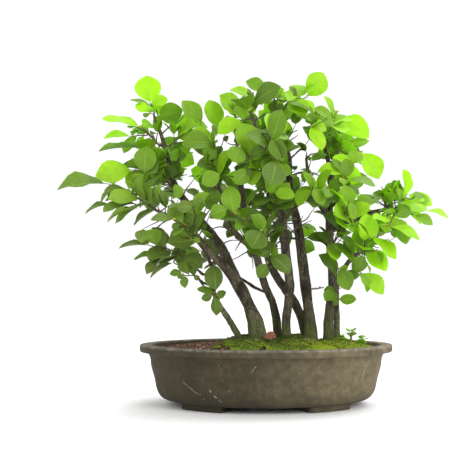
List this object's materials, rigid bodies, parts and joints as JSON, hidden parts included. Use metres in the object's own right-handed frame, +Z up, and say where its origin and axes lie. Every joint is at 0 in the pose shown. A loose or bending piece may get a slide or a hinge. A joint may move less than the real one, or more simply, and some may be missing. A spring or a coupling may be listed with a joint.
{
  "type": "potted bonsai tree",
  "caption": "Clump-style broadleaf bonsai with slender crossing trunks and leafy shoots, on a mossy mound in a shallow oval clay pot with low feet and drainage holes.",
  "frame": {"origin": "on the ground under the middle of the whole object's box, which is wider than its pot on the left", "axes": "+X along the pot's length, to the right of someone facing the tree's front; +Y from the front of the tree to its back; +Z up"},
  "size_m": [0.4984, 0.2512, 0.4337],
  "materials": {
    "clay": "matte",
    "soil": "matte",
    "moss": "matte",
    "bark": "matte",
    "leaf": "satin",
    "dead_leaf": "matte",
    "drainage_mesh": "matte",
    "wire": "satin"
  },
  "bodies": {
    "root": {"pot": "clay", "soil": "soil", "moss_pad_left": "moss", "moss_pad_middle": "moss", "moss_pad_right": "moss", "drainage_mesh_left": "drainage_mesh", "drainage_mesh_right": "drainage_mesh", "mesh_wire_left": "wire", "mesh_wire_right": "wire", "fallen_leaf": "dead_leaf", "seedling": "leaf", "trunk_far_left": "bark", "trunk_thick_left": "bark", "trunk_leaning": "bark", "trunk_middle": "bark", "trunk_crossing": "bark", "trunk_apex": "bark", "trunk_right": "bark", "trunk_thin_right": "bark", "leafy_shoot_01": "leaf", "leafy_shoot_02": "leaf", "leafy_shoot_03": "leaf", "leafy_shoot_04": "leaf", "leafy_shoot_05": "leaf", "leafy_shoot_06": "leaf", "leafy_shoot_07": "leaf", "leafy_shoot_08": "leaf", "leafy_shoot_09": "leaf", "leafy_shoot_10": "leaf", "leafy_shoot_11": "leaf", "leafy_shoot_12": "leaf", "leafy_shoot_13": "leaf", "leafy_shoot_14": "leaf", "leafy_shoot_15": "leaf", "leafy_shoot_16": "leaf", "leafy_shoot_17": "leaf", "leafy_shoot_18": "leaf", "leafy_shoot_19": "leaf", "leafy_shoot_20": "leaf", "leafy_shoot_21": "leaf", "leafy_shoot_22": "leaf", "leafy_shoot_23": "leaf", "leafy_shoot_24": "leaf", "leafy_shoot_25": "leaf", "leafy_shoot_26": "leaf", "leafy_shoot_27": "leaf", "leafy_shoot_28": "leaf", "leafy_shoot_29": "leaf", "leafy_shoot_30": "leaf", "leafy_shoot_31": "leaf", "leafy_shoot_32": "leaf", "leafy_shoot_33": "leaf", "leafy_shoot_34": "leaf", "leafy_shoot_35": "leaf", "leafy_shoot_36": "leaf", "leafy_shoot_37": "leaf", "leafy_shoot_38": "leaf", "leafy_shoot_39": "leaf", "leafy_shoot_40": "leaf", "leafy_shoot_41": "leaf"}
  },
  "joints": []
}
